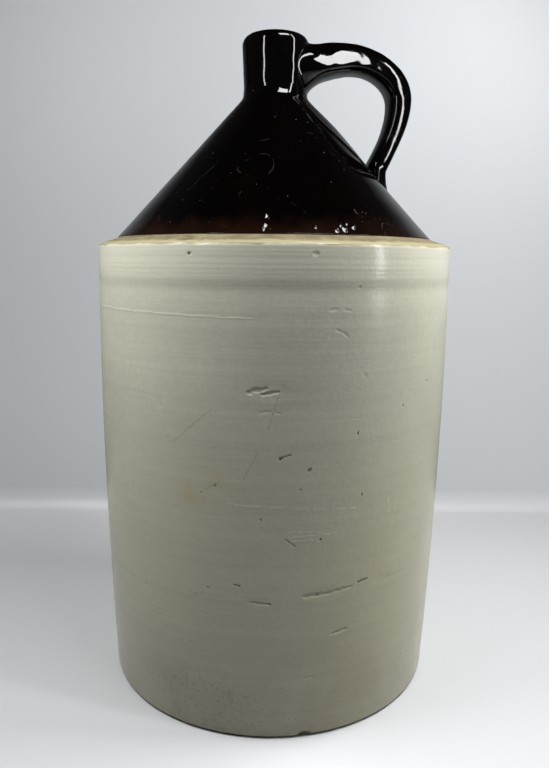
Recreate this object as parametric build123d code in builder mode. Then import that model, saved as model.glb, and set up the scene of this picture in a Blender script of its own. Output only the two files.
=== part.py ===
"""Stoneware shoulder jug of about five US gallons.

A jiggered crock body carries a hollow cone in a rebate of its shoulder ledge. A neck collar is luted
on the cone, and a strap handle is luted to the neck and the cone. White glaze covers the wall of the
crock, brown slip covers the cone, neck and handle, and a slip lining covers the whole inside. The
ledge between the two outer glazes and the standing face are bare clay.

The origin is the centre of the standing face, +Z is up and the handle is on the +X side.
All sizes are in millimetres.
"""

import os
from math import cos, radians, sin, tan

from build123d import *

# Crock body
body_height = 352.9  # standing face to the outer edge of the ledge
shoulder_radius = 140.4
belly_swell = 0.9  # how much wider the wall is at the belly than at the shoulder
belly_drop = 112.0  # the belly, below the edge of the ledge
base_taper = 5.8  # how much narrower the wall is at its foot than at the shoulder
foot_round = 3.0
wall_thickness = 12.0
floor_thickness = 14.0
floor_corner = 14.0  # round between floor and wall, inside

# Shoulder ledge, bare clay
ledge_width = 15.2
ledge_rise = 5.0
ledge_round = 2.4
rebate_depth = 3.0  # how deep the cone sits in the ledge

# Cone
cone_angle = 47.3  # degrees above level
cone_thickness = 11.0
inner_shoulder_round = 20.0

# Neck
neck_root_radius = 24.3
neck_height = 45.2
lip_radius = 26.0
lip_round = 6.4
lip_flat = 0.4  # least width left level between the two rounds of the lip
neck_root_round = 12.0  # hollow between cone and neck
neck_joint_drop = 3.0  # the luted joint, below the corner of cone and neck
bore_radius = 15.9  # over the lining, for a cork of 1 1/4 inch
bore_round = 8.0  # between the cone's inside and the bore
mouth_round = 2.6

# Glaze coats
white_thickness = 0.6
slip_thickness = 0.5
bare_foot = 2.0  # height of the unglazed rim above the standing face

# Strap handle, centre line in the XZ plane
handle_bite = 10.0  # how far the line starts inside the neck's outside
handle_root_drop = 26.0  # below the lip
handle_root_slope = 0.25  # rise of the line where it leaves the neck
handle_crown_reach = 34.7  # out from the neck
handle_crown_drop = 13.9  # below the lip
handle_reach = 76.7  # out from the neck, at the furthest
handle_bend_height = 32.0  # from the crown down to the point of furthest reach
handle_foot_reach = 54.7  # out from the neck, where the line meets the cone
handle_foot_lean = 27.0  # degrees from upright, towards the neck
handle_sink = 12.0  # how far the line runs on inside the cone's outside
handle_corner_share = 0.38  # corner radius of the strap as a share of its thickness
handle_stations = (
    # share of the centre line, width, thickness
    (0.00, 38.0, 40.0),
    (0.10, 36.0, 31.0),
    (0.20, 34.0, 23.0),
    (0.34, 32.5, 20.6),
    (0.55, 32.0, 19.4),
    (0.76, 30.0, 15.6),
    (0.87, 30.0, 16.6),
    (0.94, 32.0, 33.0),
    (1.00, 34.0, 53.0),
)

# Sizes that follow from those above
belly_radius = shoulder_radius + belly_swell
belly_height = body_height - belly_drop
base_radius = shoulder_radius - base_taper
cone_foot_radius = shoulder_radius - ledge_width
cone_slope = tan(radians(cone_angle))
ledge_height = body_height + ledge_rise  # inner edge of the ledge
seat_height = ledge_height - rebate_depth
neck_root_height = ledge_height + (cone_foot_radius - neck_root_radius) * cone_slope
neck_joint_height = neck_root_height - neck_joint_drop
lip_height = neck_root_height + neck_height
mouth_height = lip_height - mouth_round
clay_bore_radius = bore_radius + slip_thickness
lip_wall = lip_radius - clay_bore_radius
cone_inner_foot = cone_foot_radius - cone_thickness / sin(radians(cone_angle))
inner_base_radius = base_radius - wall_thickness
inner_shoulder_radius = shoulder_radius - wall_thickness
overrun = 20.0  # how far cutting shapes run past the clay


def cone_height_at(radius, foot_radius):
    """Height of a cone's side at a radius, for a side that leaves the ledge at foot_radius."""
    return ledge_height + (foot_radius - radius) * cone_slope


def corner(sketch, radius, height):
    """The sketch's vertex nearest to a point of the half section."""
    return sketch.vertices().sort_by_distance((radius, height))[0]


def band(inner_radius, low, outer_radius, high):
    """A rectangle of the half section, to trim another one."""
    with BuildSketch(Plane.XZ) as rectangle:
        with Locations((inner_radius, low)):
            Rectangle(outer_radius - inner_radius, high - low, align=Align.MIN)
    return rectangle.sketch


# Half section of the crock's outside, filled to the axis
with BuildSketch(Plane.XZ) as crock_outside:
    with BuildLine():
        foot = Line((0, 0), (base_radius, 0))
        wall = ThreePointArc(foot @ 1, (belly_radius, belly_height), (shoulder_radius, body_height))
        Polyline(wall @ 1, (cone_foot_radius, ledge_height), (0, ledge_height), (0, 0))
    make_face()
    fillet(corner(crock_outside, base_radius, 0), foot_round)
    fillet(corner(crock_outside, shoulder_radius, body_height), ledge_round)

# Half section of the outside of cone and neck, filled to the axis, down to the rebate's seat
with BuildSketch(Plane.XZ) as top_outside:
    with BuildLine():
        Polyline(
            (0, seat_height),
            (cone_foot_radius, seat_height),
            (cone_foot_radius, ledge_height),
            (neck_root_radius, neck_root_height),
            (lip_radius, lip_height),
            (0, lip_height),
            close=True,
        )
    make_face()
    fillet(corner(top_outside, neck_root_radius, neck_root_height), neck_root_round)
    fillet(corner(top_outside, lip_radius, lip_height), min(lip_round, lip_wall - mouth_round - lip_flat))

# Half section of the hollow inside the clay, from the floor out through the mouth
with BuildSketch(Plane.XZ) as hollow:
    shoulder = (inner_shoulder_radius, cone_height_at(inner_shoulder_radius, cone_inner_foot))
    throat = (clay_bore_radius, cone_height_at(clay_bore_radius, cone_inner_foot))
    with BuildLine():
        floor = Line((0, floor_thickness), (inner_base_radius, floor_thickness))
        ThreePointArc(floor @ 1, (belly_radius - wall_thickness, belly_height), shoulder)
        Polyline(
            shoulder,
            throat,
            (clay_bore_radius, lip_height + overrun),
            (0, lip_height + overrun),
            (0, floor_thickness),
        )
    make_face()
    fillet(corner(hollow, inner_base_radius, floor_thickness), floor_corner)
    fillet(corner(hollow, *shoulder), inner_shoulder_round)
    fillet(corner(hollow, *throat), bore_round)

# Half section of all the fired clay except the handle
with BuildSketch(Plane.XZ) as clay:
    add(crock_outside.sketch)
    add(top_outside.sketch)
    add(hollow.sketch, mode=Mode.SUBTRACT)
    fillet(corner(clay, clay_bore_radius, lip_height), mouth_round)


def coat(thickness):
    """Half section of a glaze coat on every side of the clay, inside and out."""
    with BuildSketch(Plane.XZ) as layer:
        add(clay.sketch)
        offset(amount=thickness)
        add(clay.sketch, mode=Mode.SUBTRACT)
        add(band(0, -overrun, belly_radius + overrun, lip_height + overrun), mode=Mode.INTERSECT)
    return layer.sketch


def handle_centre_line():
    """Line from inside the neck, over the crown and the furthest reach, to inside the cone."""
    crown_radius = neck_root_radius + handle_crown_reach
    crown_height = lip_height - handle_crown_drop
    reach_height = crown_height - handle_bend_height
    foot_radius = neck_root_radius + handle_foot_reach
    foot_height = cone_height_at(foot_radius, cone_foot_radius)
    lean_out = sin(radians(handle_foot_lean))
    lean_up = cos(radians(handle_foot_lean))
    root = (neck_root_radius - handle_bite, lip_height - handle_root_drop)
    foot = (foot_radius, foot_height)
    end = (foot_radius - handle_sink * lean_out, foot_height - handle_sink * lean_up)
    with BuildLine(Plane.XZ) as centre:
        Spline(root, (crown_radius, crown_height), tangents=((1, handle_root_slope), (1, 0)))
        EllipticalCenterArc(
            (crown_radius, reach_height),
            handle_reach - handle_crown_reach,
            handle_bend_height,
            start_angle=90,
            arc_size=-90,
        )
        reach = (neck_root_radius + handle_reach, reach_height)
        Spline(reach, foot, tangents=((0, -1), (-lean_out, -lean_up)))
        Line(foot, end)
    return centre.wire()


def handle_strap(coat_thickness=0.0):
    """The strap along its centre line, thicker by a coat on every side, with both ends inside the clay."""
    path = handle_centre_line()
    with BuildPart() as strap:
        for share, width, thickness in handle_stations:
            with BuildSketch(Plane(path @ share, x_dir=(0, 1, 0), z_dir=path % share)):
                RectangleRounded(
                    width + 2 * coat_thickness,
                    thickness + 2 * coat_thickness,
                    handle_corner_share * min(width, thickness) + coat_thickness,
                )
        loft()
    return strap.part


os.makedirs("parts", exist_ok=True)

# Crock body: jiggered wall, floor and shoulder ledge with the rebate for the cone
with BuildPart() as crock_body:
    with BuildSketch(Plane.XZ):
        add(clay.sketch)
        add(top_outside.sketch, mode=Mode.SUBTRACT)
    revolve(axis=Axis.Z)
crock_body.part.label = "crock_body"
export_step(crock_body.part, "parts/crock_body.step")

# Shoulder cone, luted in the rebate
with BuildPart() as shoulder_cone:
    with BuildSketch(Plane.XZ):
        add(clay.sketch)
        add(top_outside.sketch, mode=Mode.INTERSECT)
        add(band(0, 0, shoulder_radius, neck_joint_height), mode=Mode.INTERSECT)
    revolve(axis=Axis.Z)
shoulder_cone.part.label = "shoulder_cone"
export_step(shoulder_cone.part, "parts/shoulder_cone.step")

# Neck collar with its rounded lip, luted on the cone
with BuildPart() as neck:
    with BuildSketch(Plane.XZ):
        add(clay.sketch)
        add(band(0, neck_joint_height, shoulder_radius, lip_height + overrun), mode=Mode.INTERSECT)
    revolve(axis=Axis.Z)
neck.part.label = "neck"
export_step(neck.part, "parts/neck.step")

# The whole outside of cone and neck as a solid, which cuts the handle's ends to their seats
with BuildPart() as top_solid:
    with BuildSketch(Plane.XZ):
        add(top_outside.sketch)
    revolve(axis=Axis.Z)

# Strap handle, its ends cut to the neck and the cone
with BuildPart() as handle:
    add(handle_strap())
    add(top_solid.part, mode=Mode.SUBTRACT)
handle.part.label = "handle"
export_step(handle.part, "parts/handle.step")

# White glaze on the wall of the crock, wrapped over the rounded edge of the ledge
with BuildPart() as white_glaze:
    with BuildSketch(Plane.XZ):
        add(coat(white_thickness))
        add(hollow.sketch, mode=Mode.SUBTRACT)
        add(band(0, -overrun, belly_radius + overrun, bare_foot), mode=Mode.SUBTRACT)
        bare_radius = shoulder_radius - ledge_round
        add(band(0, body_height - ledge_round, bare_radius, lip_height + overrun), mode=Mode.SUBTRACT)
    revolve(axis=Axis.Z)
white_glaze.part.label = "white_glaze"
export_step(white_glaze.part, "parts/white_glaze.step")

# Brown slip over the cone, the neck with its lip, and the handle
with BuildPart() as brown_glaze:
    with BuildSketch(Plane.XZ):
        add(coat(slip_thickness))
        add(hollow.sketch, mode=Mode.SUBTRACT)
        slip_edge = cone_foot_radius + slip_thickness
        add(band(0, seat_height, slip_edge, lip_height + overrun), mode=Mode.INTERSECT)
    revolve(axis=Axis.Z)
    add(handle_strap(slip_thickness))
    add(top_solid.part, mode=Mode.SUBTRACT)
    add(handle.part, mode=Mode.SUBTRACT)
brown_glaze.part.label = "brown_glaze"
export_step(brown_glaze.part, "parts/brown_glaze.step")

# Slip lining of the whole inside, up to the round of the mouth
with BuildPart() as slip_lining:
    with BuildSketch(Plane.XZ):
        add(coat(slip_thickness))
        add(hollow.sketch, mode=Mode.INTERSECT)
        add(band(0, 0, shoulder_radius, mouth_height), mode=Mode.INTERSECT)
    revolve(axis=Axis.Z)
slip_lining.part.label = "slip_lining"
export_step(slip_lining.part, "parts/slip_lining.step")
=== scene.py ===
# %% [markdown]
# # A two-tone stoneware jug
# The jug is a tall crock of grey-white glazed stoneware. A black-brown cone, a short neck and a strap
# handle close its top. The CAD model gives every size, so the lesson starts by loading it as a fixed
# frame. Each visible skin is then made again with the marks of hand, kiln and use, and stands for its
# CAD node.

# %% Load the frame
from math import atan2, cos, pi, radians, sin, sqrt, tan

import bpy
import numpy as np
from mathutils import Matrix, Vector


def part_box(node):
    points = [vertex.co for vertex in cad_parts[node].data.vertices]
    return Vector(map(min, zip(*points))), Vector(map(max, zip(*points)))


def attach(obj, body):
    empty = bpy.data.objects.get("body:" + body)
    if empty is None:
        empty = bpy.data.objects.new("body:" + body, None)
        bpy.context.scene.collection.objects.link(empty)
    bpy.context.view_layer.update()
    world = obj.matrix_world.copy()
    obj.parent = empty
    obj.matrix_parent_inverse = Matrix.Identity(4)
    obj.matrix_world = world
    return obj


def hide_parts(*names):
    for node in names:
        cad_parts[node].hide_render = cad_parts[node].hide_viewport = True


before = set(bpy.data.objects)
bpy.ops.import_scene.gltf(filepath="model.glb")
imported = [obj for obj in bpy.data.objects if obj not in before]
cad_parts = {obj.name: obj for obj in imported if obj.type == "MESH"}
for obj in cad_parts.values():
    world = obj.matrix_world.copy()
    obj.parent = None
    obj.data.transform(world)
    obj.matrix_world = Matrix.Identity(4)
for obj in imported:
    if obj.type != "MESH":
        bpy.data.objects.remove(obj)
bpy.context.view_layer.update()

# %% [markdown]
# ## The jug's sizes
# Most sizes can be read from the boxes of the CAD nodes: the belly, the ledge, the foot of the cone and
# the lip. A box doesn't show a slope or a rounding, so those few are written down, in millimetres.

# %% Sizes from the frame
MM = 0.001
crock_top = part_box("crock_body")[1]
cone_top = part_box("shoulder_cone")[1]
neck_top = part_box("neck")[1]
white_low, white_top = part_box("white_glaze")
slip_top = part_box("brown_glaze")[1]

belly_radius = crock_top.x
ledge_height = crock_top.z
cone_foot_radius = cone_top.x
lip_height = neck_top.z
glaze_thickness = white_top.x - belly_radius
slip_thickness = slip_top.z - lip_height
bare_foot = white_low.z

ledge_rise = 5.0 * MM
belly_drop = 112 * MM
base_taper = 6.7 * MM
shoulder_taper = 0.9 * MM
body_height = ledge_height - ledge_rise
belly_height = body_height - belly_drop
base_radius = belly_radius - base_taper
shoulder_radius = belly_radius - shoulder_taper
wall_thickness = 12 * MM
cone_thickness = 11 * MM
floor_thickness = 14 * MM
floor_round = 14 * MM
foot_round = 3 * MM
ledge_round = 2.4 * MM
rebate_depth = 3 * MM
cone_angle = radians(47.3)
cone_slope = tan(cone_angle)
neck_root_radius = 24.3 * MM
neck_root_height = ledge_height + (cone_foot_radius - neck_root_radius) * cone_slope
neck_root_round = 12 * MM
lip_radius = 26 * MM
lip_round = 6.4 * MM
mouth_round = 2.6 * MM
bore_radius = 16.4 * MM
print(f"belly {2 * belly_radius:.3f} m across, lip at {lip_height:.3f} m")

# %% [markdown]
# ## The camera
# The photograph looks slightly down on the jug, from close by, with the handle on the right and turned
# a little towards the back. The camera stands on a circle around the jug's axis. Turning a matrix about
# Z, X and Z again gives its heading, its tilt and its small roll in that order.

# %% Camera
camera_distance = 568.8 * MM
camera_height = 341.0 * MM
handle_turn = radians(-7.5)
camera_tilt = radians(90 - 10.39)
camera_heading = radians(-0.145)
camera_roll = radians(0.517)
photo_height = 768
focal_length_px = 673.9

camera_data = bpy.data.cameras.new("photo_camera")
camera_data.sensor_fit = "VERTICAL"
camera_data.sensor_height = 36
camera_data.sensor_width = 36
camera_data.lens = focal_length_px * camera_data.sensor_height / photo_height
camera = bpy.data.objects.new("photo_camera", camera_data)
bpy.context.scene.collection.objects.link(camera)
camera.matrix_world = (
    Matrix.Rotation(handle_turn, 4, "Z")
    @ Matrix.Translation((0, -camera_distance, camera_height))
    @ Matrix.Rotation(camera_heading, 4, "Z")
    @ Matrix.Rotation(camera_tilt, 4, "X")
    @ Matrix.Rotation(camera_roll, 4, "Z")
)
bpy.context.scene.camera = camera
print(f"lens {camera_data.lens:.2f} mm")

# %% [markdown]
# ## Paths and throwing
# Clay on a wheel is a path turned about an axis. A path is written as corners with a rounding each, as
# on a drawing, and cut into even steps. Its normals say which way leads out of the clay.

# %% Helpers for paths
def rounded(corners, step=0.5 * MM):
    """A path through corners of (radius, height, rounding), with an arc for each rounding."""
    points = [corners[0][:2]]
    for before, here, after in zip(corners, corners[1:], corners[2:]):
        spot = Vector(here[:2])
        if here[2] == 0:
            points.append(tuple(spot))
            continue
        back = (Vector(before[:2]) - spot).normalized()
        ahead = (Vector(after[:2]) - spot).normalized()
        half = back.angle(ahead) / 2
        middle = spot + (back + ahead).normalized() * (here[2] / sin(half))
        start = spot + back * (here[2] / tan(half)) - middle
        end = spot + ahead * (here[2] / tan(half)) - middle
        first = atan2(start.y, start.x)
        sweep = (atan2(end.y, end.x) - first + pi) % (2 * pi) - pi
        count = max(4, int(abs(sweep) * here[2] / step))
        for turn in np.linspace(first, first + sweep, count + 1):
            points.append((middle.x + here[2] * cos(turn), middle.y + here[2] * sin(turn)))
    points.append(corners[-1][:2])
    return np.array(points)


def respaced(path, step):
    """The same path with points at an even distance."""
    run = np.r_[0, np.cumsum(np.hypot(*np.diff(path, axis=0).T))]
    even = np.linspace(0, run[-1], int(run[-1] / step) + 1)
    return np.c_[np.interp(even, run, path[:, 0]), np.interp(even, run, path[:, 1])]


def normals(path):
    """Directions square to the path, on its right-hand side, which is the outside going up."""
    along = np.gradient(path, axis=0)
    across = np.c_[along[:, 1], -along[:, 0]]
    return across / np.linalg.norm(across, axis=1, keepdims=True)


# %% [markdown]
# Blender's Screw modifier could turn a path, but then each ring would be perfect. Here the rings are
# computed, so that every point can be pushed along the path's normal by a relief: throwing lines, dents
# and chips are real shape, not only shading. The columns lie closer together on the front.

# %% Helpers for turned shapes
fine_turns = np.arange(-168, -40, 0.38)
coarse_turns = np.arange(-40, 192, 1.0)
column_turns = np.radians(np.r_[fine_turns, coarse_turns])
crock_lean = 0.0048
lean_level = 250 * MM


def new_piece(name, points, faces):
    """A smooth mesh object at the origin of the frame."""
    mesh = bpy.data.meshes.new(name)
    mesh.from_pydata(points, [], faces)
    mesh.validate()
    mesh.shade_smooth()
    piece = bpy.data.objects.new(name, mesh)
    bpy.context.scene.collection.objects.link(piece)
    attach(piece, "root")
    return piece


def between_rows(rows):
    """The faces between rows of points; a row may be one point repeated."""
    faces = []
    for low, high in zip(rows, rows[1:]):
        for left in range(len(low)):
            right = (left + 1) % len(low)
            faces.append(list(dict.fromkeys([low[left], low[right], high[right], high[left]])))
    return faces


def denser(extra, gap):
    """The columns with more of them, in degrees, and none nearer together than the gap."""
    turns = np.sort(np.r_[column_turns, np.radians(extra)])
    return turns[np.r_[True, np.diff(turns) > radians(gap)]]


def thrown(name, outside, inside, relief, lean=0.0, columns=column_turns):
    """A closed shell: the outside path with its relief, and the inside path back to the start."""
    turns = columns[None, :]
    square = normals(outside)
    push = relief(turns, outside[:, :1], outside[:, 1:])
    radius = np.vstack([outside[:, :1] + square[:, :1] * push, inside[:, :1] + 0 * turns])
    height = np.vstack([outside[:, 1:] + square[:, 1:] * push, inside[:, 1:] + 0 * turns])
    points, rows = [], []
    for ring_radius, ring_height in zip(radius, height):
        first = len(points)
        if ring_radius.max() < 1e-6:
            points.append((0, 0, ring_height.mean()))
            rows.append([first] * len(columns))
            continue
        sideways = lean * (ring_height - lean_level)
        x = ring_radius * np.cos(turns[0]) + sideways * cos(handle_turn)
        y = ring_radius * np.sin(turns[0]) + sideways * sin(handle_turn)
        points.extend(np.c_[x, y, ring_height])
        rows.append(range(first, first + len(columns)))
    if len(set(rows[0])) > 1:
        rows.append(rows[0])
    return new_piece(name, points, between_rows(rows))


# %% [markdown]
# No mark of a hand starts sharply. A soft bump, a soft step, an oval and slow irregular waves, which
# close on themselves around the jug, draw all of them.

# %% Helpers for soft marks
def hump(place, middle, width):
    """A soft bump of height 1."""
    return np.exp(-(((place - middle) / width) ** 2))


def rise(place, start, end):
    """A smooth step from 0 at start to 1 at end."""
    share = np.clip((place - start) / (end - start), 0, 1)
    return share * share * (3 - 2 * share)


def from_oval(turns, radius, height, oval):
    """How far points lie from the middle of an oval, where 1 is its edge."""
    turn, level, half_width, half_height = oval
    away = np.angle(np.exp(1j * (turns - radians(turn)))) * radius
    return np.hypot(away / (half_width * MM), (height - level * MM) / (half_height * MM))


def unevenness(seed, turns, heights, rounds, wavelength):
    """Slow irregular waves between about -1 and 1."""
    chance = np.random.default_rng(seed)
    total = 0
    for _ in range(8):
        around = chance.integers(1, rounds + 1)
        upward = 2 * pi / (wavelength * chance.uniform(0.7, 1.6)) * chance.choice([-1, 1])
        total = total + np.cos(around * turns + upward * heights + chance.uniform(0, 2 * pi))
    return total / 4


# %% [markdown]
# ## The wall's curve
# The crock bulges very slightly: three radii, at the base, the belly and the shoulder, fix one circle.
# Clay, glaze and inside all follow this one curve, so it is a function of the height.

# %% Wall curve
def circle_through(*points):
    """Centre and radius of the circle through three points."""
    points = np.array(points)
    squares = (points[1:] ** 2 - points[0] ** 2).sum(axis=1) / 2
    middle = np.linalg.solve(points[1:] - points[0], squares)
    return middle, np.hypot(*(points[0] - middle))


swell_middle, swell_radius = circle_through(
    (base_radius, 0), (belly_radius, belly_height), (shoulder_radius, body_height)
)


def wall_radius(height):
    """The clay's outer radius at a height."""
    return swell_middle[0] + np.sqrt(swell_radius**2 - (height - swell_middle[1]) ** 2)


print(f"the wall is an arc of {swell_radius:.2f} m radius")

# %% [markdown]
# ## The clay crock
# The crock shows bare clay on the ledge and under the foot. It could stay as the CAD node, but a hand
# trimmed ledge isn't true: it waves a little, shows the trimming tool's rings and has small chips.

# %% Relief of the ledge
ledge_chips = [
    # turn in degrees, radius, size and depth in millimetres
    (-123.5, 134.0, 3.6, 1.4),
    (-118.0, 136.6, 2.2, 1.2),
    (-70.0, 135.5, 2.4, 0.9),
    (-40.0, 132.0, 3.0, 0.8),
    (35.0, 134.5, 3.4, 1.1),
    (118.0, 133.0, 2.8, 0.9),
    (170.0, 136.0, 2.6, 1.0),
]
ledge_wave = 0.16 * MM
trim_depth = 0.10 * MM
trim_spacing = 3.4 * MM
ledge_clearance = 0.2 * MM


def ledge_relief(turns, radius, height):
    """Waves and chips on the ledge, nothing elsewhere."""
    on_ledge = rise(height, body_height - 1.5 * MM, body_height + 0.5 * MM)
    waves = ledge_wave * unevenness(11, turns, radius, 14, 16 * MM)
    grooves = trim_depth * np.cos(2 * pi * (radius - cone_foot_radius) / trim_spacing)
    chips = 0
    for place, across, size, depth in ledge_chips:
        away = np.angle(np.exp(1j * (turns - radians(place)))) * radius
        chips = chips + depth * MM * hump(np.hypot(away, (radius - across * MM)), 0, size * MM)
    return on_ledge * (waves + grooves - chips - ledge_clearance)


# %% [markdown]
# The path goes from the middle of the underside, round the foot, up behind the glaze, over the ledge
# and back down the inside.

# %% Clay crock
wall_heights = np.linspace(10 * MM, body_height - 10 * MM, 30)
hidden_depth = 0.6 * MM
clay_outside = rounded(
    [(0, 0, 0), (base_radius * 0.5, 0, 0), (base_radius, 0, foot_round)]
    + [(wall_radius(height) - hidden_depth, height, 0) for height in wall_heights]
    + [(shoulder_radius, body_height, ledge_round), (cone_foot_radius, ledge_height, 0)]
)
ledge_start = np.argmax(clay_outside[:, 1] > body_height - ledge_round - 0.1 * MM)
clay_outside = np.vstack([clay_outside[:ledge_start], respaced(clay_outside[ledge_start:], 0.7 * MM)])
seat_height = ledge_height - rebate_depth
inner_heights = np.linspace(seat_height - 12 * MM, floor_thickness + 20 * MM, 8)
clay_inside = rounded(
    [(cone_foot_radius, seat_height, 0), (cone_foot_radius - cone_thickness, seat_height, 0)]
    + [(wall_radius(height) - wall_thickness, height, 0) for height in inner_heights]
    + [(base_radius - wall_thickness, floor_thickness, floor_round), (0, floor_thickness, 0)],
    3 * MM,
)
bare_clay = thrown("bare_clay", clay_outside, clay_inside, ledge_relief, crock_lean)
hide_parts("crock_body")
print("clay crock:", len(bare_clay.data.polygons), "faces")

# %% [markdown]
# ## Marks on the wall
# Long use left pits, scratches and flakes in the glaze, and the kiln a few raised lines. Painted marks
# would need a picture, so each is written as a short stroke, and each dent as an oval.

# %% Marks on the wall
# Each stroke: turn and height of both ends, and half width, in degrees and millimetres.
wall_pits = [
    (-95.4, 212.6, -94.6, 213.4, 0.85),
    (-94.6, 213.4, -92.6, 215.0, 0.40),
    (-87.7, 204.2, -87.1, 204.7, 0.90),
    (-89.8, 191.0, -89.7, 191.1, 0.55),
    (-71.6, 183.0, -71.4, 183.4, 0.60),
    (-71.3, 117.6, -68.0, 119.2, 0.50),
    (-84.6, 113.0, -84.0, 113.2, 0.70),
    (-120.3, 345.2, -120.0, 345.2, 1.00),
    (-113.3, 192.0, -113.2, 192.2, 0.60),
    (-73.6, 227.4, -73.5, 228.0, 0.60),
    (-45.6, 256.0, -45.2, 256.0, 0.70),
    (-57.5, 241.5, -57.4, 242.3, 0.50),
    (-74.4, 324.6, -74.2, 324.6, 0.55),
    (-100.7, 169.6, -100.4, 169.8, 0.55),
    (-115.9, 117.0, -115.6, 117.2, 0.80),
    (-107.8, 121.2, -106.4, 120.6, 0.50),
    (-139.4, 104.6, -139.1, 104.8, 0.60),
    (-93.6, 155.4, -90.9, 150.4, 0.36),
    (-98.5, 107.8, -97.6, 107.6, 0.50),
    (-83.9, 154.0, -83.6, 154.2, 0.55),
]
wall_scratches = [
    (-125.5, 220, -113.9, 245, 0.40),
    (-98.7, 232, -96.0, 254, 0.35),
    (-105.4, 197, -101.6, 215, 0.35),
    (-116.2, 188, -111.8, 196, 0.35),
    (-121.6, 111.5, -112.0, 111.0, 0.35),
    (-62.0, 115.2, -51.6, 115.8, 0.35),
    (-79.3, 81.4, -74.1, 83.6, 0.40),
    (-87.9, 113.6, -75.7, 114.4, 0.45),
]
wall_flakes = [
    (-104.4, 256.8, -99.2, 259.4, 1.7),
    (-100.4, 255.6, -95.8, 257.6, 1.4),
    (-88.2, 112.6, -79.8, 113.6, 1.5),
    (-79.6, 114.6, -73.0, 115.8, 1.2),
    (-103.4, 108.8, -97.6, 107.8, 1.1),
    (-79.3, 81.4, -74.1, 83.6, 1.3),
]
faint_flakes = [
    (-101.0, 243.4, -97.8, 244.4, 0.9),
    (-96.8, 243.6, -95.2, 243.2, 0.8),
    (-81.0, 297.2, -79.0, 295.4, 1.0),
    (-79.0, 295.4, -77.6, 292.6, 0.9),
    (-82.8, 309.6, -80.8, 310.6, 1.2),
    (-79.0, 310.2, -76.6, 309.6, 0.8),
    (-72.6, 266.6, -71.4, 266.4, 1.1),
    (-87.4, 48.6, -84.2, 49.6, 1.3),
]
raised_lines = [
    (-163.9, 306.6, -133.7, 306.1, 0.50),
    (-133.7, 306.1, -117.2, 305.2, 0.52),
    (-117.2, 305.2, -102.8, 304.3, 0.45),
    (-109.6, 180, -90.0, 177.2, 0.42),
    (-90.0, 177.2, -71.9, 173.5, 0.42),
    (-93.8, 160.8, -84.0, 159.4, 0.26),
    (-91.4, 157.2, -79.6, 157.8, 0.26),
    (-92.4, 153.6, -86.0, 154.7, 0.26),
    (-62.0, 182.0, -61.1, 162.0, 0.26),
    (-58.2, 176.0, -60.0, 150.0, 0.24),
]
wall_dents = [
    # turn in degrees, height, half width, half height and depth in millimetres
    (-98.0, 257.0, 14.0, 7.0, 0.12),
    (-86.9, 345.4, 2.4, 1.5, 0.34),
    (-82.0, 113.0, 16.0, 5.0, 0.14),
    (-100.5, 108.4, 11.0, 4.0, 0.10),
    (-62.0, 115.0, 9.0, 4.0, 0.10),
    (-86.4, 2.4, 6.0, 2.6, 0.70),
    (20.0, 150.0, 5.0, 3.0, 0.30),
    (64.0, 240.0, 4.0, 2.4, 0.30),
    (101.0, 90.0, 7.0, 2.6, 0.30),
    (150.0, 285.0, 3.2, 2.6, 0.32),
    (175.0, 60.0, 5.0, 2.4, 0.28),
]
print(len(wall_pits), "pits,", len(wall_scratches), "scratches,", len(wall_dents), "dents")

# %% [markdown]
# A point lies on a stroke if it is nearer than the half width, on the wall laid out flat. Slow waves
# shake the stroke and fray its edge, so that it looks worn in and not drawn.

# %% Shape of a stroke
def mark_shape(turns, heights, marks, inner=0.55, ends=1.0):
    """1 on the strokes and 0 beside them, on the unrolled wall."""
    total = np.zeros(np.broadcast(turns, heights).shape)
    shake = 0.3 * MM * unevenness(51, turns, heights, 90, 12 * MM)
    ragged = 0.35 * MM * unevenness(57, turns, heights, 260, 5 * MM)
    for turn_a, height_a, turn_b, height_b, half in marks:
        around = (turns - radians(turn_a)) * belly_radius
        upward = heights + shake - height_a * MM
        run_around = radians(turn_b - turn_a) * belly_radius
        run_upward = (height_b - height_a) * MM
        share = (around * run_around + upward * run_upward) / (run_around**2 + run_upward**2)
        share = np.clip(share, 0, 1)
        gap = np.hypot(around - share * run_around, upward - share * run_upward) + ragged * half
        gap = gap / (ends + (1 - ends) * np.sqrt(1 - (2 * share - 1) ** 2))
        total = np.maximum(total, 1 - rise(gap, inner * half * MM, 1.20 * half * MM))
    return total


# %% [markdown]
# ## The glazed wall
# The glaze lies over the thrown wall and shows everything under it: fine rings in a band below the
# ledge, a shallow groove under the band and slow ripples. The marks come on top. Bump in a material
# could draw them too, but here they are shape in the mesh.

# %% Relief of the glaze
groove_height = 328 * MM
band_spacings = (2.7, 3.6, 5.3, 7.9)
# Heights and depths in millimetres.
band_rise = 0.30
ring_depth = 0.012
groove_depth = 0.24
ripple_depths = {9.5: 0.010, 14.3: 0.018, 37.0: 0.040}
flake_depth = 0.50
faint_depth = 0.16
pit_depth = 0.40
line_rise = 0.12
wall_clearance = 0.22


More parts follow.
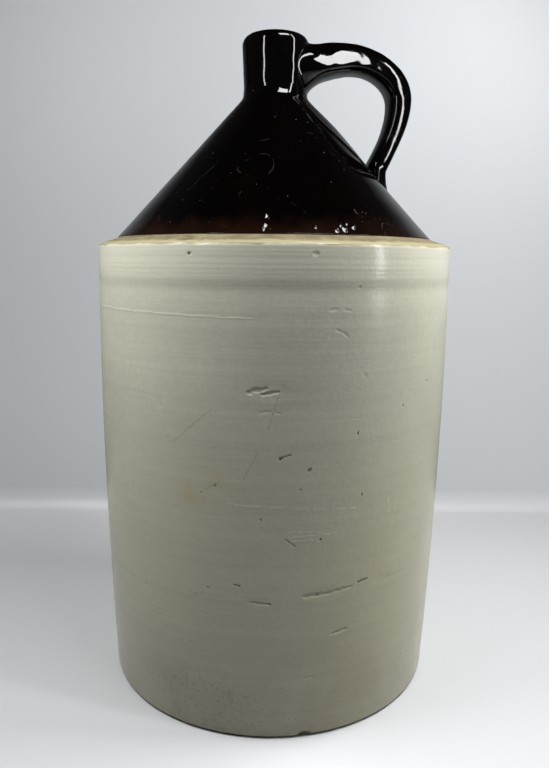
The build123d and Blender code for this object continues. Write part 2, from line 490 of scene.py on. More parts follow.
def wall_relief(turns, radius, height):
    """How far the glaze stands above or below its mean surface."""
    lean = 0.6 * MM * unevenness(21, turns, height, 3, 500 * MM)
    in_band = rise(height + lean, groove_height - 5.0 * MM, groove_height + 6.0 * MM)
    rings = sum(np.cos(2 * pi * (height + lean) / (spacing * MM) + spacing) for spacing in band_spacings)
    below_edge = rise(-height, -body_height, 4 * MM - body_height)
    push = MM * in_band * (band_rise + ring_depth * rings) * below_edge
    push = push - groove_depth * MM * hump(height + lean, groove_height - 6 * MM, 5.5 * MM)
    for spacing, depth in ripple_depths.items():
        push = push + depth * MM * np.cos(2 * pi * (height + 2 * lean) / (spacing * MM) + spacing)
    for *oval, depth in wall_dents:
        push = push - depth * MM * (1 - rise(from_oval(turns, radius, height, oval), 0.55, 1.15))
    push = push - flake_depth * MM * mark_shape(turns, height, wall_flakes, inner=0.60, ends=0.35)
    push = push - faint_depth * MM * mark_shape(turns, height, faint_flakes, ends=0.40)
    push = push - pit_depth * MM * mark_shape(turns, height, wall_pits)
    push = push + line_rise * MM * mark_shape(turns, height, raised_lines)
    return push - wall_clearance * MM


# %% [markdown]
# The skin follows the clay from the bare foot to the ledge, wraps over its edge and thins out there.
# Near the marks its rows and columns lie closer, because a stroke needs several points across.

# %% Glazed wall
glaze_bedding = 0.4 * MM
marked_levels = ((0, 8), (46, 52), (79, 86), (104, 122), (150, 164), (240, 262), (290, 313))
wall_turns = denser(np.r_[np.arange(-106, -94, 0.19), np.arange(-89, -66, 0.19)], 0.09)
edge_middle = Vector((wall_radius(body_height - ledge_round) - ledge_round, body_height - ledge_round))
low_heights = np.arange(bare_foot, groove_height - 8 * MM, 0.5 * MM)
near_marks = sum((low_heights > a * MM) & (low_heights < b * MM) for a, b in marked_levels) > 0
low_heights = low_heights[near_marks | (np.arange(len(low_heights)) % 2 == 0)]
band_heights = np.arange(low_heights[-1] + 0.8 * MM, edge_middle.y, 0.7 * MM)
glaze_heights = np.r_[low_heights, band_heights]
clay_wall = np.c_[wall_radius(glaze_heights), glaze_heights]
foot_corner = rise(glaze_heights, -0.5 * MM, foot_round)
clay_wall[:, 0] -= foot_round * 0.9 * (1 - foot_corner) ** 2
over_edge = np.radians(np.linspace(3, 78, 9))
clay_edge = np.c_[
    edge_middle.x + ledge_round * np.cos(over_edge), edge_middle.y + ledge_round * np.sin(over_edge)
]
glaze_inside = np.vstack([clay_wall, clay_edge])
glaze_outside = glaze_inside + normals(glaze_inside) * glaze_thickness
glaze_outside[-1] = glaze_inside[-1] + (glaze_outside[-1] - glaze_inside[-1]) * 0.3
glaze_back = (glaze_inside - normals(glaze_inside) * glaze_bedding)[::-8]
glazed_wall = thrown("glazed_wall", glaze_outside, glaze_back, wall_relief, crock_lean, wall_turns)
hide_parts("white_glaze")
print("glazed wall:", len(glazed_wall.data.polygons), "faces")

# %% [markdown]
# ## The clay under the handle
# The potter set the handle on soft clay and smeared it over the cone. It swells in the middle and ends
# in a seam. A separate piece would show an open edge, so this pad is a relief of the cone's skin.

# %% Pad under the handle
pad_levels = np.array([405, 418, 445, 470]) * MM
pad_half_turns = np.radians([24, 30, 52, 58])
pad_low_end = (398 * MM, 425 * MM)
pad_high_end = (440 * MM, 468 * MM)
# Thicknesses in millimetres.
pad_step = 0.8
pad_swell = 1.7
pad_bead = 0.55


def cone_pad(turns, heights):
    """Clay smeared on the cone between neck and handle, with a seam at its edge."""
    share = np.abs(np.angle(np.exp(1j * turns))) / np.interp(heights, pad_levels, pad_half_turns)
    along = rise(heights, *pad_low_end) * (1 - rise(heights, *pad_high_end))
    step = pad_step * (1 - rise(share, 0.92, 1.0))
    swell = pad_swell * (1 - rise(share, 0, 0.95))
    bead = pad_bead * hump(share, 0.95, 0.035)
    return along * MM * (step + swell + bead)


# %% [markdown]
# ## The slip on cone, neck and lip
# The wet slip ran down the cone and gathered near the ledge in small drips, some in rough trails.
# Under it lie soft throwing waves.

# %% Relief of the slip
slip_drips = [
    # turn in degrees, height, half width, half height and swell in millimetres
    (-100.9, 374.3, 1.1, 1.9, 0.85),
    (-100.3, 370.8, 1.4, 2.0, 0.95),
    (-101.2, 367.4, 1.3, 1.8, 0.90),
    (-100.5, 364.4, 1.6, 1.8, 0.95),
    (-101.1, 361.4, 1.3, 1.6, 0.85),
    (-77.6, 361.6, 1.8, 1.7, 0.95),
    (-76.1, 364.2, 1.7, 1.8, 0.95),
    (-74.7, 361.8, 1.9, 1.8, 1.00),
    (-73.6, 365.4, 1.4, 1.5, 0.85),
    (-71.4, 363.6, 1.7, 1.9, 0.95),
    (-84.6, 363.4, 1.0, 1.1, 0.65),
    (20.0, 363.0, 4.0, 4.0, 0.70),
    (95.0, 362.0, 3.6, 4.0, 0.70),
    (160.0, 364.0, 3.0, 4.0, 0.65),
]
slip_clearance = 0.12 * MM


def slip_relief(turns, radius, height):
    """Soft throwing waves in the cone, drips near its foot and the clay smeared under the handle."""
    fine_waves = 0.012 * MM * np.cos(2 * pi * height / (11 * MM))
    waves = fine_waves + 0.02 * MM * np.cos(2 * pi * height / (19 * MM))
    uneven = 0.05 * MM * unevenness(41, turns, height, 5, 70 * MM)
    on_cone = rise(-height, -neck_root_height + 5 * MM, -neck_root_height + 25 * MM)
    wobble = 0.05 * MM * unevenness(43, turns, height, 9, 13 * MM)
    drips = 0
    for *oval, swell in slip_drips:
        drips = drips + swell * MM * hump(from_oval(turns, radius, height, oval), 0, 1)
    thrown_marks = (0.3 + 0.7 * on_cone) * uneven + on_cone * waves + (1 - on_cone) * wobble
    return thrown_marks + drips + cone_pad(turns, height) - slip_clearance


# %% [markdown]
# One coat runs from the ledge up the cone, round the root of the neck and over the lip into the mouth,
# so it is turned as one skin, with the finest net where the drips and the seam are.

# %% Slip skin
drip_zone = 20 * MM
fine_step = 0.45 * MM
coarse_step = 1.8 * MM
slip_corners = [
    (cone_foot_radius, ledge_height, 0),
    (neck_root_radius, neck_root_height, neck_root_round),
    (lip_radius, lip_height, lip_round),
    (bore_radius, lip_height, mouth_round),
    (bore_radius, lip_height - mouth_round, 0),
]
slip_clay = respaced(rounded(slip_corners), fine_step)
drip_rows = slip_clay[:, 1] < ledge_height + drip_zone
slip_clay = np.vstack([slip_clay[drip_rows], respaced(slip_clay[~drip_rows], coarse_step)])
slip_outside = slip_clay + normals(slip_clay) * slip_thickness
drip_turns = np.r_[np.arange(-103, -98, 0.13), np.arange(-86, -70, 0.13)]
seam_turns = np.arange(-60, -20, 0.3)
slip_turns = denser(np.r_[drip_turns, seam_turns], 0.05)
slip_shoulder = thrown("slip_shoulder", slip_outside, slip_clay[::-6], slip_relief, columns=slip_turns)
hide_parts("brown_glaze")
print("slip skin:", len(slip_shoulder.data.polygons), "faces")

# %% [markdown]
# ## The strap handle
# A pulled strap of clay leaves the neck just under the lip, turns over a full shoulder and stands on
# the cone. A curve with a bevel would give one section all along. The real strap changes: it flares
# where it is pressed on the neck, is pressed flat along both upper edges and ends in a tail on the
# cone. So each ring is computed along a centre line, which is drawn first.

# %% Centre line of the handle
strap_rings = 72
ring_points = 56
root_spot = Vector((38.0, 496.0)) * MM
crown_spot = Vector((59.0, 498.8)) * MM
bend_reach = 42.0 * MM
bend_drop = 32.0 * MM
limb_foot = Vector((84.3, 417.0)) * MM
limb_lean = radians(27)
root_pull = Vector((21, 5)) * MM
crown_pull = Vector((20, 0)) * MM
limb_pull = Vector((0, -50)) * MM
foot_pull = Vector((-sin(limb_lean), -cos(limb_lean))) * 55 * MM


def hermite(start, start_pull, end, end_pull, share):
    """A smooth curve between two points that leaves and arrives along the two pulls."""
    square, cube = share**2, share**3
    return (
        start * (2 * cube - 3 * square + 1)
        + start_pull * (cube - 2 * square + share)
        + end * (3 * square - 2 * cube)
        + end_pull * (cube - square)
    )


def centre_line():
    """Points of (reach, height) from the neck over the bend to just above the cone."""
    line = []
    reach_spot = crown_spot + Vector((bend_reach, -bend_drop))
    for share in np.linspace(0, 1, 13)[:-1]:
        line.append(hermite(root_spot, root_pull, crown_spot, crown_pull, share))
    for turn in np.linspace(pi / 2, 0, 33)[:-1]:
        line.append(crown_spot + Vector((bend_reach * cos(turn), bend_drop * (sin(turn) - 1))))
    for share in np.linspace(0, 1, 27):
        line.append(hermite(reach_spot, limb_pull, limb_foot, foot_pull, share))
    return respaced(np.array(line), 0.2 * MM)


strap_line = centre_line()
picks = np.linspace(0, len(strap_line) - 1, strap_rings).astype(int)
strap_along = np.gradient(strap_line, axis=0)[picks]
strap_along = strap_along / np.linalg.norm(strap_along, axis=1, keepdims=True)
strap_line = strap_line[picks]
print(f"handle line reaches {strap_line[:, 0].max():.4f} m from the axis")

# %% [markdown]
# The strap's section is a rounded rectangle with softly crowned faces, which a superellipse gives. Its
# upper face has a faint hollow from the finger that pulled it, and both edges beside it are flattened.
# Width and thickness are given at a few places from the neck (0) to the cone (1), and softened.

# %% Rings of the handle
def softened(values, reach=5):
    """The same values with their corners smoothed away."""
    window = np.ones(2 * reach + 1) / (2 * reach + 1)
    return np.convolve(np.pad(values, reach, mode="edge"), window, "valid")


strap_run = np.linspace(0, 1, strap_rings)
strap_places = (0, 0.10, 0.28, 0.57, 0.86, 1)
strap_width = softened(np.interp(strap_run, strap_places, (42.0, 33.5, 29.0, 29.5, 28.5, 29.0)) * MM)
strap_thick = softened(np.interp(strap_run, strap_places, (27.0, 24.4, 20.8, 19.6, 15.8, 16.8)) * MM)
section_turn = np.linspace(0, 2 * pi, ring_points, endpoint=False)
squareness = 2 / 2.5
flat_tilt = radians(23)
flat_start = softened(np.interp(strap_run, (0, 0.37, 0.57, 1), (0.62, 0.64, 0.86, 0.90)))
section_side = np.sign(np.cos(section_turn)) * np.abs(np.cos(section_turn)) ** squareness
section_out = np.sign(np.sin(section_turn)) * np.abs(np.sin(section_turn)) ** squareness


def pressed_flat(side, lift, facing, start):
    """Flattens one upper edge of a section; facing is -1 for the front and 1 for the back."""
    reach = facing * side * cos(flat_tilt) + lift * sin(flat_tilt)
    extra = 0.85 * np.maximum(reach - start * reach.max(), 0)
    return side - facing * extra * cos(flat_tilt), lift - extra * sin(flat_tilt)


def strap_ring(index):
    """The ring of points around one place of the centre line."""
    reach, height = strap_line[index]
    along = strap_along[index]
    out = np.array([-along[1], along[0]])
    hollow = 1 - 0.045 * hump(section_side, 0, 0.45) * (section_out > 0)
    lift = section_out * hollow * strap_thick[index] / 2
    side = section_side * strap_width[index] / 2
    side, lift = pressed_flat(side, lift, -1, flat_start[index])
    side, lift = pressed_flat(side, lift, 1, flat_start[index])
    fading = 1 - rise(strap_run[index], 0.22, 0.42)
    lumps = 1 + 0.009 * fading * unevenness(61, section_turn, strap_run[index], 7, 0.09)
    return np.c_[reach + lumps * lift * out[0], lumps * side, height + lumps * lift * out[1]]


print(f"strap {strap_width.min():.4f} to {strap_width.max():.4f} m wide")

# %% [markdown]
# A thumb smooths each end of the strap onto the clay. The smoothed place is an oval on the skin: a
# round one on the neck, and one with a tail on the cone.

# %% Where the handle lands
landing_side = np.cos(section_turn)
landing_out = np.sin(section_turn)
root_level = 489.5 * MM
foot_reach = 83.5 * MM
# Half sizes of the two ovals in millimetres.
root_up = 20.0
root_down = 22.5
root_half_width = 21.0
tail_length = 21.0
heel_length = 12.0
foot_half_width = 18.0
tail_taper = 4.0
neck_skin = slip_outside[slip_outside[:, 1].argsort()]
neck_skin = neck_skin[neck_skin[:, 0] > lip_radius - lip_round]


def neck_landing(size):
    """A ring on the neck around the handle's root."""
    height = root_level + size * landing_out * np.where(landing_out > 0, root_up, root_down) * MM
    side = size * landing_side * root_half_width * MM
    reach = np.interp(height, neck_skin[:, 1], neck_skin[:, 0])
    return np.c_[np.sqrt(reach**2 - side**2), side, height]


def cone_landing(size):
    """A ring on the cone around the handle's foot, with its tail on the low side."""
    down = size * landing_out * np.where(landing_out > 0, tail_length, heel_length) * MM
    half_width = foot_half_width - tail_taper * np.maximum(landing_out, 0)
    side = size * landing_side * half_width * MM
    reach = foot_reach + down * cos(cone_angle)
    over_clay = slip_thickness * sqrt(1 + cone_slope**2)
    height = ledge_height + (cone_foot_radius - np.hypot(reach, side)) * cone_slope + over_clay
    turns = np.arctan2(side, reach)
    swell = cone_pad(turns, height)
    outward = swell * sin(cone_angle)
    x = reach + outward * np.cos(turns)
    y = side + outward * np.sin(turns)
    return np.c_[x, y, height + swell * cos(cone_angle)]


# %% [markdown]
# From each end of the strap, rings lead on to its oval and arrive there tangent to the skin. A Boolean
# union could join the parts too, but would leave a sharp line where they meet.

# %% Handle
end_lead = 12 * MM


def pressed_end(ring, along, landing, spread, rings=14):
    """Rings from the strap's end to a landing, and two more that close it under the skin."""
    edge = landing(1.0)
    away = landing(1.1) - edge
    away = away / np.linalg.norm(away, axis=1, keepdims=True) * spread[:, None]
    shares = np.linspace(0, 1, rings + 1)[1:]
    steps = [hermite(ring, along * end_lead, edge, away, share) for share in shares]
    inward = along / np.linalg.norm(along)
    shallow = inward * 0.5 * MM
    deep = inward * 2.5 * MM
    steps.append(landing(1.04) + shallow)
    steps.append(landing(0.6) + deep)
    return steps, landing(0.0)[0] + deep


strap = [strap_ring(index) for index in range(strap_rings)]
to_neck = np.array([-strap_along[0][0], 0, -strap_along[0][1]])
to_cone = np.array([strap_along[-1][0], 0, strap_along[-1][1]])
root_spread = np.where(landing_out > 0, 10 - 7 * landing_out, 10 - 14 * landing_out) * MM
foot_spread = np.full(ring_points, 10 * MM)
root_rings, root_middle = pressed_end(strap[0], to_neck, neck_landing, root_spread)
foot_rings, foot_middle = pressed_end(strap[-1], to_cone, cone_landing, foot_spread)
handle_rings = root_rings[::-1] + strap + foot_rings
handle_points = np.vstack(handle_rings + [root_middle, foot_middle])
handle_rows = np.arange(len(handle_rings) * ring_points).reshape(-1, ring_points).tolist()
root_tip = [len(handle_points) - 2] * ring_points
foot_tip = [len(handle_points) - 1] * ring_points
handle_faces = between_rows([root_tip, *handle_rows, foot_tip])
slip_handle = new_piece("slip_handle", handle_points, handle_faces)
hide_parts("handle")
print("handle:", len(handle_rings), "rings of", ring_points, "points")

# %% [markdown]
# ## Tools for the finishes
# Every finish is a small tree of shader nodes on coordinates in metres. These helpers add a node to the
# tree of the socket they are given, so that a finish reads as a recipe. An image texture would need a
# picture and a place for each pixel, while noise by position fits any shape.

# %% Helpers for finishes
def new_finish(name):
    """An empty material: its node tree, its shader and the position on the jug."""
    finish = bpy.data.materials.new(name)
    finish.use_nodes = True
    tree = finish.node_tree
    shader = tree.nodes["Principled BSDF"]
    place = tree.nodes.new("ShaderNodeTexCoord").outputs["Object"]
    return finish, tree, shader, place


def add_node(tree, kind, inputs, output=0, **settings):
    """Adds a node, sets or links its inputs and gives one output."""
    node = tree.nodes.new("ShaderNode" + kind)
    for name, value in settings.items():
        setattr(node, name, value)
    for name, value in inputs.items():
        if isinstance(value, bpy.types.NodeSocket):
            tree.links.new(value, node.inputs[name])
        else:
            node.inputs[name].default_value = value
    return node.outputs[output]


def apart(place, axis):
    """One coordinate of a position."""
    return add_node(place.id_data, "SeparateXYZ", {0: place}, output=axis)


def grain(place, scale, detail=3, rough=0.5, stretch=(1, 1, 1)):
    """Noise between 0 and 1; scale counts the waves in a metre."""
    spread = add_node(place.id_data, "VectorMath", {0: place, 1: stretch}, operation="MULTIPLY")
    inputs = {"Vector": spread, "Scale": scale, "Detail": detail, "Roughness": rough}
    return add_node(place.id_data, "TexNoise", inputs)


def ramp(value, start, end, low=0.0, high=1.0):
    """A smooth step of a value."""
    inputs = {"Value": value, "From Min": start, "From Max": end, "To Min": low, "To Max": high}
    return add_node(value.id_data, "MapRange", inputs, interpolation_type="SMOOTHSTEP")


def calc(operation, first, second=0.0):
    """One step of arithmetic on values."""
    return add_node(first.id_data, "Math", {0: first, 1: second}, operation=operation)


def times(first, second):
    """The product of two values."""
    return calc("MULTIPLY", first, second)


def tint(share, first, second):
    """The first colour, or the second where the share is 1."""
    return add_node(share.id_data, "Mix", {0: share, 6: first, 7: second}, output=2, data_type="RGBA")


def specks(place, scale, size):
    """Round specks: 1 inside a speck, 0 outside."""
    away = add_node(place.id_data, "TexVoronoi", {"Vector": place, "Scale": scale})
    return ramp(away, size, size * 0.5)


def hair_scratches(place, scale, width, break_scale, breaks):
    """Thin lines where one noise crosses its middle, broken up by another."""
    crossing = calc("ABSOLUTE", calc("SUBTRACT", grain(place, scale, detail=0.6), 0.5))
    thin_lines = ramp(crossing, *width)
    return times(thin_lines, ramp(grain(place, break_scale), *breaks))


def relief_normal(shader, layers):
    """Stacks bump layers of (height, depth in metres) into the shader's normal."""
    normal = None
    for height, depth in layers:
        inputs = {"Height": height, "Distance": depth, "Strength": 1.0}
        if normal is not None:
            inputs["Normal"] = normal
        normal = add_node(shader.id_data, "Bump", inputs)
    shader.id_data.links.new(normal, shader.inputs["Normal"])


# %% [markdown]
# ## White glaze
# Brown dirt sits in pits and scratches, clings to the wall above the foot and has seeped through the
# glaze in one place. Each point of the wall keeps these as numbers, so the finish needs no picture.

# %% Marks kept on the wall's points
wall_points = np.array([vertex.co for vertex in glazed_wall.data.vertices])
point_turns = np.arctan2(wall_points[:, 1], wall_points[:, 0])
point_heights = wall_points[:, 2]
strokes = {"pit": wall_pits, "scratch": wall_scratches, "raised": raised_lines}
wall_values = {name: mark_shape(point_turns, point_heights, marks) for name, marks in strokes.items()}
# Turn in degrees, height, half width and half height in millimetres.
patches = {"dirt": (-118, 26, 78, 40), "seep": (-119, 188, 34, 26)}
for name, oval in patches.items():
    spread = from_oval(point_turns, belly_radius, point_heights, oval)
    wall_values[name] = 1 - rise(spread, 0.15, 1.0)
for name, values in wall_values.items():
    kept = glazed_wall.data.attributes.new(name, "FLOAT", "POINT")
    kept.data.foreach_set("value", values)
    print(name, "covers", int((values > 0.5).sum()), "points")

# %% [markdown]
# The glaze itself is a grey-white of ash and feldspar: cloudy, with fine lines from the wheel and hair
# scratches, paler in the band under the ledge, which is partly painted light, and yellower towards the
# foot.

# %% White glaze: ground
white_glaze, tree, shader, place = new_finish("white_glaze")
height = apart(place, "Z")
pits, scratches, raised, dirt, seep = (
    add_node(tree, "Attribute", {}, output="Fac", attribute_name=name) for name in wall_values
)
lines = grain(place, 9, detail=4, rough=0.7, stretch=(1, 1, 40))
clouds = grain(place, 7, detail=5, rough=0.6)
colour = tint(ramp(clouds, 0.35, 0.70), (0.525, 0.525, 0.430, 1), (0.595, 0.590, 0.485, 1))
colour = tint(ramp(lines, 0.45, 0.75, 0, 0.22), colour, (0.43, 0.42, 0.345, 1))
mottle = ramp(grain(place, 210, detail=4, rough=0.7), 0.30, 0.72, 0, 0.30)
colour = tint(mottle, colour, (0.44, 0.432, 0.352, 1))
hairs = hair_scratches(place, 16, (0.0022, 0.0008), 62, (0.50, 0.60))
colour = tint(times(hairs, 0.30), colour, (0.66, 0.65, 0.55, 1))
# Painted light: the band under the ledge is tinted paler, partly its own tone and partly light falling
# on the upper wall.
in_band = ramp(height, groove_height - 4 * MM, groove_height + 4 * MM, 0, 0.8)
colour = tint(in_band, colour, (0.62, 0.612, 0.505, 1))
stain = ramp(grain(place, 5, detail=4, stretch=(1, 1, 0.6)), 0.50, 0.70, 0, 0.6)
colour = tint(stain, colour, (0.48, 0.425, 0.29, 1))
aged = ramp(height, 300 * MM, 90 * MM, 0, 0.4)
colour = tint(aged, colour, (0.54, 0.525, 0.335, 1))
print("ground of the glaze:", len(tree.nodes), "nodes")

# %% [markdown]
# Over the ground come the stains: damp that rose from the foot, soil and dirt, iron specks, and the
# marks. At the edge of the ledge the glaze ran thin, and the clay browns it; the dark olive line there
# is also painted shade under the glaze's edge. The gloss is sharper in the band and dull in the pits.
# Bump gives orange peel, lines and grit, which are too small for a mesh.

# %% White glaze: stains and gloss
cloudy = ramp(grain(place, 16), 0.42, 0.68)
low = times(ramp(height, 95 * MM, 0), cloudy)
colour = tint(times(low, 0.42), colour, (0.36, 0.29, 0.19, 1))
soil = times(specks(place, 330, 0.16), ramp(height, 80 * MM, 15 * MM))
soil = times(soil, ramp(grain(place, 26, detail=4), 0.47, 0.58, 0, 0.85))
colour = tint(soil, colour, (0.15, 0.11, 0.07, 1))
dirty = ramp(grain(place, 330, detail=5, rough=0.75), 0.50, 0.68, 0, 0.55)
colour = tint(times(dirt, dirty), colour, (0.20, 0.175, 0.105, 1))
seeped = ramp(grain(place, 45, detail=4), 0.38, 0.62, 0.1, 0.6)
colour = tint(times(seep, seeped), colour, (0.52, 0.44, 0.25, 1))
iron = calc("MAXIMUM", specks(place, 70, 0.065), specks(place, 160, 0.05))
iron = times(iron, ramp(grain(place, 15), 0.50, 0.60, 0, 0.6))
colour = tint(iron, colour, (0.10, 0.08, 0.06, 1))
colour = tint(times(scratches, 0.28), colour, (0.10, 0.085, 0.065, 1))
colour = tint(times(pits, 0.92), colour, (0.045, 0.032, 0.025, 1))
colour = tint(times(raised, 0.5), colour, (0.74, 0.70, 0.57, 1))
# The dark olive rim at the glaze's edge is partly thin glaze browned by the clay and partly painted
# shade under the edge.
edge_noise = calc("SUBTRACT", grain(place, 70, detail=4), 0.5)
edge_wander = times(edge_noise, 4 * MM)
rim = ramp(calc("ADD", height, edge_wander), body_height - 2.4 * MM, body_height - 1.2 * MM)
colour = tint(times(rim, 0.85), colour, (0.27, 0.235, 0.115, 1))
tree.links.new(colour, shader.inputs["Base Color"])

dull = ramp(clouds, 0.3, 0.8, 0.17, 0.26)
dull = calc("SUBTRACT", dull, ramp(height, groove_height - 8 * MM, groove_height, 0, 0.08))
dull = calc("MAXIMUM", dull, times(pits, 0.6))
tree.links.new(dull, shader.inputs["Roughness"])
peel = grain(place, 320, detail=2)
hairlines = grain(place, 22, detail=3, rough=0.6, stretch=(1, 1, 45))
grit = grain(place, 800, detail=2)
fine_layers = [(peel, 0.08 * MM), (lines, 0.08 * MM), (hairlines, 0.05 * MM), (grit, 0.042 * MM)]
relief_normal(shader, fine_layers)
glazed_wall.data.materials.append(white_glaze)
print("white glaze:", len(tree.nodes), "nodes")

# %% [markdown]
# ## Brown slip
# The slip fires to a glass that is nearly black where it is thick and red-brown where it ran thin, as
# above the ledge. The gloss does the drawing, so the surface is smooth, with a very slow ripple and a
# few pinholes that keep its reflections alive.

# %% Brown slip
brown_slip, tree, shader, place = new_finish("brown_slip")
height = apart(place, "Z")
runs = grain(place, 55, detail=4, rough=0.6, stretch=(1, 1, 0.25))
wander = calc("ADD", height, times(calc("SUBTRACT", runs, 0.5), 26 * MM))
thin = ramp(wander, ledge_height + 17 * MM, ledge_height - 3 * MM)
colour = tint(thin, (0.0006, 0.0004, 0.0004, 1), (0.0075, 0.0030, 0.0017, 1))
cloud = ramp(grain(place, 30, detail=5), 0.45, 0.75, 0, 0.5)
colour = tint(cloud, colour, (0.0012, 0.0006, 0.0004, 1))
hairs = hair_scratches(place, 19, (0.0016, 0.0006), 95, (0.53, 0.61))
colour = tint(times(hairs, 0.20), colour, (0.12, 0.11, 0.10, 1))
pinhole = calc("MAXIMUM", specks(place, 130, 0.06), specks(place, 300, 0.05))
colour = tint(times(pinhole, 0.5), colour, (0.13, 0.11, 0.09, 1))
tree.links.new(colour, shader.inputs["Base Color"])
gloss = ramp(grain(place, 45, detail=4), 0.35, 0.8, 0.03, 0.09)
gloss = calc("MAXIMUM", gloss, times(thin, 0.06))
tree.links.new(gloss, shader.inputs["Roughness"])
shader.inputs["IOR"].default_value = 1.62
ripple = grain(place, 38, detail=2, stretch=(1, 1, 1.6))
fine = grain(place, 420, detail=2)
holes = times(pinhole, -1)
relief_normal(shader, [(ripple, 0.22 * MM), (fine, 0.012 * MM), (holes, 0.10 * MM)])
slip_shoulder.data.materials.append(brown_slip)
slip_handle.data.materials.append(brown_slip)
print("brown slip:", len(tree.nodes), "nodes")

# %% [markdown]
# ## Bare clay and lining
# Unglazed stoneware is tan, grainy and dull, with dark iron grains, redder clouds from the fire and a
# pale line near the edge of the ledge, partly a film of glaze and partly painted highlight. The inside
# has a thin wash of slip. The CAD nodes of cone and neck lie hidden under their slip and take the
# crock's clay.

# %% Bare clay and lining
clay_finish, tree, shader, place = new_finish("bare_stoneware")
mottle = grain(place, 90, detail=5, rough=0.65)
grit = grain(place, 900, detail=2)
colour = tint(ramp(mottle, 0.35, 0.68), (0.108, 0.089, 0.051, 1), (0.170, 0.146, 0.088, 1))
iron = times(specks(place, 260, 0.12), 0.6)
colour = tint(iron, colour, (0.11, 0.075, 0.045, 1))
flashing = ramp(grain(place, 24, detail=4), 0.55, 0.72, 0, 0.5)
colour = tint(flashing, colour, (0.19, 0.135, 0.08, 1))
across = add_node(tree, "VectorMath", {0: place, 1: (1, 1, 0)}, operation="MULTIPLY")
across = add_node(tree, "VectorMath", {0: across}, output="Value", operation="LENGTH")
across = calc("ADD", across, times(calc("SUBTRACT", mottle, 0.5), 7 * MM))
# Painted highlight: the pale line near the ledge's outer edge is partly a film of glaze and partly light
# on the rounded edge.
film_and_highlight = ramp(across, shoulder_radius - 5.0 * MM, shoulder_radius - 2.6 * MM)
colour = tint(times(film_and_highlight, 0.7), colour, (0.25, 0.225, 0.133, 1))
tree.links.new(colour, shader.inputs["Base Color"])
shader.inputs["Roughness"].default_value = 0.72
relief_normal(shader, [(mottle, 0.35 * MM), (grit, 0.12 * MM)])
bare_clay.data.materials.append(clay_finish)

lining_finish, tree, shader, place = new_finish("slip_wash")
wash = grain(place, 40, detail=4)
colour = tint(ramp(wash, 0.35, 0.7), (0.055, 0.028, 0.017, 1), (0.10, 0.05, 0.03, 1))
tree.links.new(colour, shader.inputs["Base Color"])
shader.inputs["Roughness"].default_value = 0.35
node_finishes = {"shoulder_cone": clay_finish, "neck": clay_finish, "slip_lining": lining_finish}
for node_name, finish in node_finishes.items():
    node_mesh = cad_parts[node_name].data
    node_mesh.materials.clear()
    node_mesh.materials.append(finish)
print("finishes given to", len(node_finishes), "CAD nodes")

# %% [markdown]
# ## Table and wall
# The jug stands on a pale table before a pale wall. One sheet with a small cove makes both, where two
# planes would leave a hard line.

# %% Table and wall
table_front = -1.8
wall_behind = 340 * MM
wall_top = 0.75
cove_round = 25 * MM
sheet_half = 2.2
cove = rounded([(table_front, 0, 0), (wall_behind, 0, cove_round), (wall_behind, wall_top, 0)], 2 * MM)
sides = (-sheet_half, sheet_half)
sheet_points = [(side, reach, level) for reach, level in cove for side in sides]
sheet_faces = [[2 * k, 2 * k + 1, 2 * k + 3, 2 * k + 2] for k in range(len(cove) - 1)]
sheet_mesh = bpy.data.meshes.new("table_and_wall")
sheet_mesh.from_pydata(sheet_points, [], sheet_faces)
sheet_mesh.shade_smooth()
table = bpy.data.objects.new("table_and_wall", sheet_mesh)
bpy.context.scene.collection.objects.link(table)
table.rotation_euler.z = handle_turn
print("table and wall:", len(sheet_faces), "faces")

# %% [markdown]
# The sheet is pale to the eye and in reflections, where painted shade darkens the wall upward. To the
# eye it also glows with painted light, brighter to the right and near the table. To bounced light it is
# dark, because so near a sheet would fill the jug's shadows. Its back is clear to the camera, so that it
# doesn't block the views from behind.

# %% Finish of table and wall
paper, tree, shader, place = new_finish("pale_paper")
level = apart(place, "Z")
rays = tree.nodes.new("ShaderNodeLightPath").outputs
seen = rays["Is Camera Ray"]
mirrored = calc("MAXIMUM", seen, rays["Is Glossy Ray"])
upright = ramp(level, 2 * MM, 12 * MM)
pale = tint(upright, (0.63, 0.64, 0.655, 1), (0.22, 0.23, 0.24, 1))
# Painted shade: in reflections the wall darkens upward, for a dim room overhead.
painted_shade_above = times(rays["Is Glossy Ray"], ramp(level, 0.28, 0.74))
pale = tint(painted_shade_above, pale, (0.015, 0.015, 0.016, 1))
tree.links.new(tint(mirrored, (0.08, 0.079, 0.078, 1), pale), shader.inputs["Base Color"])
shader.inputs["Emission Color"].default_value = (0.94, 0.97, 1.0, 1)
# Painted light: to the eye the wall glows, brighter to the right and near the table, as if lit from the
# right.
across = ramp(apart(place, "X"), -0.35, 0.35, 0.16, 0.29)
painted_light_glow = calc("ADD", across, ramp(level, 0.45, 0.05, 0, 0.075))
painted_light_glow = times(times(upright, seen), painted_light_glow)
tree.links.new(painted_light_glow, shader.inputs["Emission Strength"])
shader.inputs["Roughness"].default_value = 0.6
behind = tree.nodes.new("ShaderNodeNewGeometry").outputs["Backfacing"]
clear = tree.nodes.new("ShaderNodeBsdfTransparent").outputs[0]
unseen = times(behind, seen)
mixed = add_node(tree, "MixShader", {0: unseen, 1: shader.outputs[0], 2: clear})
tree.links.new(mixed, tree.nodes["Material Output"].inputs["Surface"])
table.data.materials.append(paper)
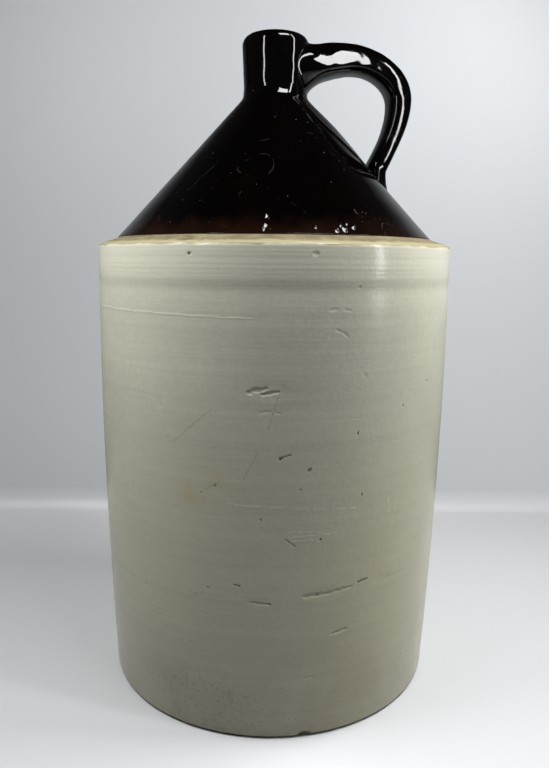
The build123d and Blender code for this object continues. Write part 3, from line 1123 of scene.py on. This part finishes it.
print("pale paper:", len(tree.nodes), "nodes")

# %% [markdown]
# ## Light
# The highlights on the slip tell where the lamps stood: a tall narrow window to the right, a weaker one
# to the left and a small lamp high up, right of the camera. Two broad side lamps stand for the rest of
# the room, so the gloss doesn't mirror them. The front of the jug lies between all, and is darker. The
# room itself gives little light, and less from overhead, so that the handle's top stays dark.

# %% Light
jug_middle = Vector((0, 0, 0.33))


def soft_lamp(name, heading, elevation, distance, width, tall, power, mirrored=True):
    """A soft lamp that looks at the jug; heading counts degrees from the camera to the right."""
    data = bpy.data.lights.new(name, "AREA")
    data.shape = "RECTANGLE"
    data.size = width
    data.size_y = tall
    data.energy = power
    lamp = bpy.data.objects.new(name, data)
    bpy.context.scene.collection.objects.link(lamp)
    side = radians(heading) + handle_turn
    away = Vector((sin(side) * cos(elevation), -cos(side) * cos(elevation), sin(elevation)))
    lamp.location = jug_middle + away * distance
    lamp.rotation_euler = away.to_track_quat("Z", "Y").to_euler()
    lamp.visible_glossy = mirrored


soft_lamp("window_right", 65, radians(25), 1.90, width=0.13, tall=2.05, power=9.5)
soft_lamp("window_left", -40, radians(28), 0.62, width=0.040, tall=0.38, power=0.50)
soft_lamp("lamp_above_camera", 34, radians(58), 0.72, width=0.28, tall=0.16, power=1.8)
soft_lamp("side_right", 84, radians(45), 0.55, width=0.30, tall=0.30, power=5.8, mirrored=False)
soft_lamp("side_left", -66, radians(45), 0.52, width=0.30, tall=0.30, power=3.9, mirrored=False)

world = bpy.data.worlds.new("soft_room")
world.use_nodes = True
tree = world.node_tree
sky = tree.nodes.new("ShaderNodeTexCoord").outputs["Generated"]
overhead = ramp(apart(sky, "Z"), 0.50, 0.95)
room = tint(overhead, (0.95, 0.97, 1.0, 1), (0.06, 0.06, 0.065, 1))
tree.links.new(room, tree.nodes["Background"].inputs["Color"])
tree.nodes["Background"].inputs["Strength"].default_value = 0.022
bpy.context.scene.world = world
bpy.context.scene.view_settings.view_transform = "Standard"
print("five lamps and a soft room")
